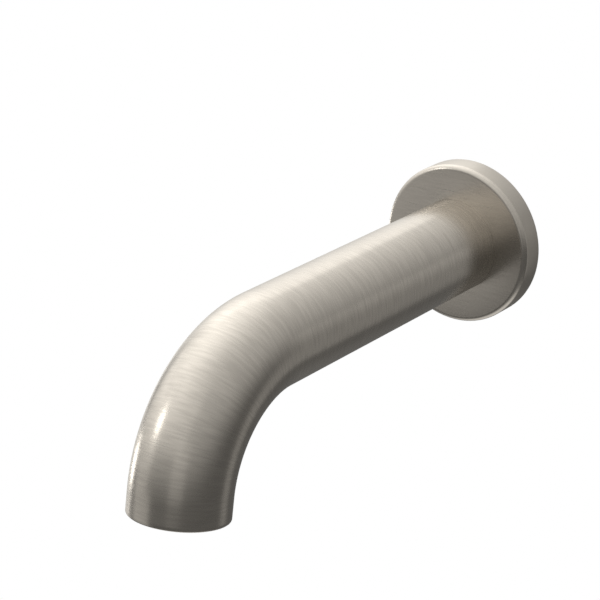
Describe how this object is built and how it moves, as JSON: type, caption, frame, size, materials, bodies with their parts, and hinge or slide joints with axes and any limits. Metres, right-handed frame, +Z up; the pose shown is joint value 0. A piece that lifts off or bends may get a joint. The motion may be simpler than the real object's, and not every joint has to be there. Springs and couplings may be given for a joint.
{
  "type": "wall mounted bath spout",
  "caption": "Bent-tube bath spout on a round wall plate, slipped over a threaded adapter and locked by a grub screw, with a screw-in stream straightener.",
  "frame": {"origin": "centre of the adapter's mouth, in the plane of the finished wall", "axes": "+Z up, +Y into the wall along the inlet, so the spout reaches out along -Y"},
  "size_m": [0.07, 0.2197, 0.0909],
  "materials": {
    "brushed_nickel": "brushed nickel plate over brass, brushed round the tube",
    "brass": "turned brass",
    "seal_rubber": "smooth black rubber",
    "gasket_foam": "closed-cell foam",
    "stainless_steel": "plain stainless steel",
    "white_plastic": "moulded acetal"
  },
  "bodies": {
    "spout": {"spout_shell": "brushed_nickel", "inlet_socket": "brass", "outlet_ring": "brass", "adapter": "brass", "adapter_oring_front": "seal_rubber", "adapter_oring_rear": "seal_rubber"},
    "plate": {"wall_plate": "brushed_nickel", "plate_oring": "seal_rubber", "wall_gasket": "gasket_foam"},
    "grub_screw": {"grub_screw": "stainless_steel"},
    "washer": {"stream_washer": "seal_rubber"},
    "straightener": {"stream_housing": "white_plastic", "stream_core": "white_plastic", "stream_screen": "stainless_steel", "debris_strainer": "white_plastic"}
  },
  "joints": [
    {"name": "plate_slide", "type": "slide", "parent": "spout", "child": "plate", "axis": [0, -1, 0], "range_m": [0, 0.12]},
    {"name": "grub_screw_feed", "type": "slide", "parent": "spout", "child": "grub_screw", "axis": [0, 0, -1], "range_m": [0, 0.004]},
    {"name": "straightener_feed", "type": "slide", "parent": "spout", "child": "washer", "axis": [0, -0.1702, -0.9854], "range_m": [0, 0.0071]},
    {"name": "straightener_turn", "type": "hinge", "parent": "washer", "child": "straightener", "pos_m": [0, -0.20005, -0.05259], "axis": [0, -0.1702, -0.9854], "range_deg": [0, 2520]}
  ],
  "couplings": [
    {"joint": "straightener_feed", "follows": "straightener_turn", "m_per_rad": 0.00015915}
  ]
}
